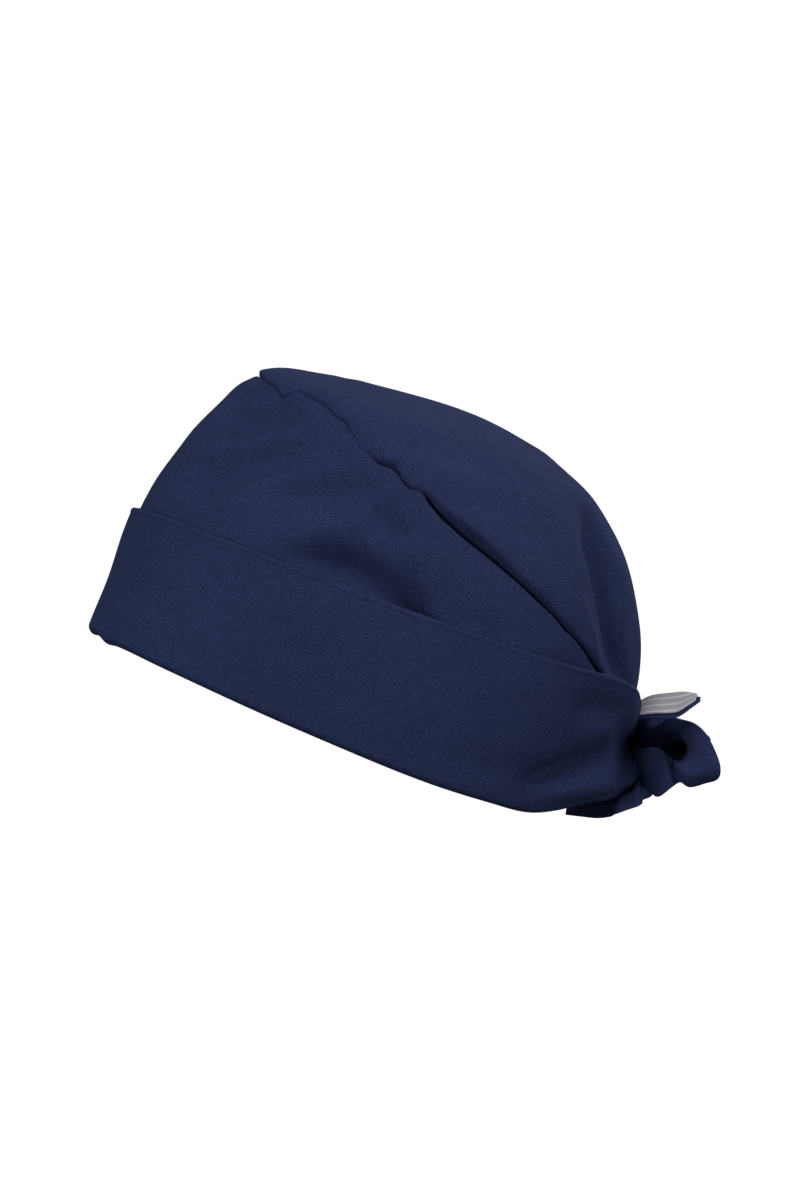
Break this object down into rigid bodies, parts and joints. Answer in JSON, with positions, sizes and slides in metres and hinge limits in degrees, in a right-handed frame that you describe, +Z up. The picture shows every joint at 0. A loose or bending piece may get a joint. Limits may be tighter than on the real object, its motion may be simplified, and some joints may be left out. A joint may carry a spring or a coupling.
{
  "type": "scrub cap",
  "caption": "Tie-back cloth scrub cap with a turned-up cuff, a side panel, a puffed crown and a bow at the nape, open below for the head.",
  "frame": {"origin": "the middle of the head opening at the rim, where the head holds the cap", "axes": "+Z up, +X from the forehead to the nape, +Y to the wearer's right; the rim drops 21.5 degrees from front to back"},
  "size_m": [0.2367, 0.1648, 0.1705],
  "materials": {
    "navy_cloth": "matte plain weave",
    "label_weave": "satin weave"
  },
  "bodies": {
    "root": {"crown": "navy_cloth", "side_panel": "navy_cloth", "cuff": "navy_cloth", "knot": "navy_cloth", "bow_loop_left": "navy_cloth", "bow_loop_right": "navy_cloth", "tie_end_upper": "navy_cloth", "tie_end_lower": "navy_cloth", "label": "label_weave"}
  },
  "joints": []
}
